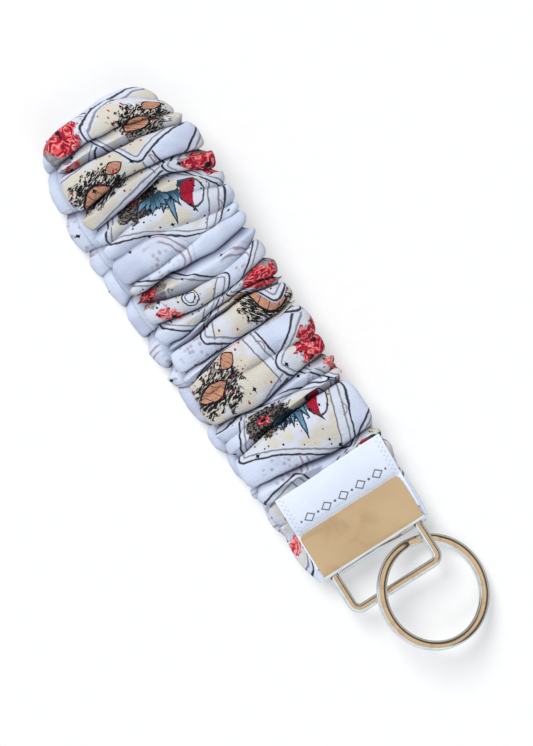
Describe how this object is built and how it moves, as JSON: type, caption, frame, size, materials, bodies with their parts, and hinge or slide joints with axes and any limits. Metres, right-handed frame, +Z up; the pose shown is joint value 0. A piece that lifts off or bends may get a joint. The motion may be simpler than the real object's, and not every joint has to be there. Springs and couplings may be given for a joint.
{
  "type": "wristlet key fob",
  "caption": "Wristlet key fob: gathered fabric sleeve over elastic, folded into a wrist loop and gripped with a satin label in a metal clamp, whose swinging wire bail carries a split ring.",
  "frame": {"origin": "on the surface the fob lies on, under the middle of its outline", "axes": "+X across the clamp and the strap, +Y from the clamp to the loop's far end, +Z up"},
  "size_m": [0.0456, 0.181, 0.0163],
  "materials": {
    "polished_nickel": "polished nickel plate, fine handling smudges",
    "bright_wire": "bright nickel-plated steel wire",
    "print_fabric": null,
    "satin_label": null,
    "white_elastic": "woven flat elastic",
    "thread": "polyester sewing thread"
  },
  "bodies": {
    "strap": {"sleeve_loop": "print_fabric", "elastic_loop": "white_elastic", "sleeve_seam": "thread", "label_flap": "satin_label"},
    "clamp": {"clamp": "polished_nickel", "sleeve_end_front": "print_fabric", "sleeve_end_back": "print_fabric", "elastic_end_front": "white_elastic", "elastic_end_back": "white_elastic", "label_tail_front": "satin_label", "label_tail_back": "satin_label", "end_stitching": "thread"},
    "bail": {"bail": "bright_wire"},
    "ring": {"split_ring": "bright_wire"}
  },
  "joints": [
    {"name": "clamp_flex", "type": "hinge", "parent": "strap", "child": "clamp", "pos_m": [0.0003, -0.0414, 0.0055], "axis": [-1, 0, 0], "range_deg": [-25, 25]},
    {"name": "bail_swing", "type": "hinge", "parent": "clamp", "child": "bail", "pos_m": [0.0003, -0.0541, 0.0055], "axis": [-1, 0, 0], "range_deg": [-33, 15]},
    {"name": "ring_swing", "type": "hinge", "parent": "bail", "child": "ring", "pos_m": [0.0003, -0.0677, 0.00765], "axis": [-1, 0, 0], "range_deg": [0, 120]}
  ]
}
